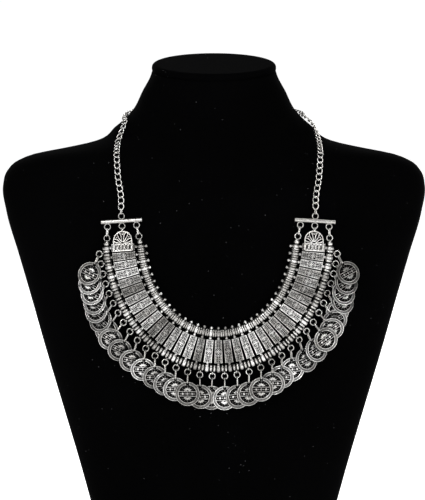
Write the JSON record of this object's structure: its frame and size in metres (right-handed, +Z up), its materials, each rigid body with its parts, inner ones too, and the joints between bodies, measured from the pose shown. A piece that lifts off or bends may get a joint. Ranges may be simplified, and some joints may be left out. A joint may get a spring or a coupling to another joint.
{
  "type": "coin bib necklace on a velvet neck bust",
  "caption": "Bib necklace of cast plates on two strings with a row of overlapping coin drops, bars and curb chain, laid on a plain black velvet neck bust.",
  "frame": {"origin": "centre of the bust on the surface that it stands on", "axes": "+Z up, -Y towards the front of the bust, +X to the right as seen from the front"},
  "size_m": [0.3196, 0.1155, 0.3566],
  "materials": {
    "antique_silver": "antiqued silver plate on zinc alloy, worn bright on the high points and blackened in the recesses",
    "bright_silver": "polished silver plate, lightly darkened",
    "thread": "matte black cord",
    "velvet": "matte black velvet"
  },
  "bodies": {
    "root": {"display_bust": "velvet", "inner_string": "thread", "outer_string": "thread", "coin_01": "antique_silver", "coin_02": "antique_silver", "coin_03": "antique_silver", "coin_04": "antique_silver", "coin_05": "antique_silver", "coin_06": "antique_silver", "coin_07": "antique_silver", "coin_08": "antique_silver", "coin_09": "antique_silver", "coin_10": "antique_silver", "coin_11": "antique_silver", "coin_12": "antique_silver", "coin_13": "antique_silver", "coin_14": "antique_silver", "coin_15": "antique_silver", "coin_16": "antique_silver", "coin_17": "antique_silver", "coin_18": "antique_silver", "coin_19": "antique_silver", "coin_20": "antique_silver", "coin_21": "antique_silver", "coin_22": "antique_silver", "coin_23": "antique_silver", "coin_24": "antique_silver", "coin_25": "antique_silver", "coin_26": "antique_silver", "coin_27": "antique_silver", "coin_28": "antique_silver", "coin_29": "antique_silver", "coin_30": "antique_silver", "coin_31": "antique_silver", "coin_32": "antique_silver", "coin_33": "antique_silver", "coin_34": "antique_silver", "plates_left": "antique_silver", "plates_right": "antique_silver", "end_filigree_left": "antique_silver", "end_filigree_right": "antique_silver", "inner_beads": "bright_silver", "outer_beads_left": "bright_silver", "outer_beads_right": "bright_silver", "coin_rings_left": "bright_silver", "coin_rings_right": "bright_silver", "strand_ends": "bright_silver", "bar_left": "bright_silver", "bar_right": "bright_silver", "link_rings": "bright_silver", "chain_left": "bright_silver", "chain_right": "bright_silver", "clasp": "bright_silver"}
  },
  "joints": []
}
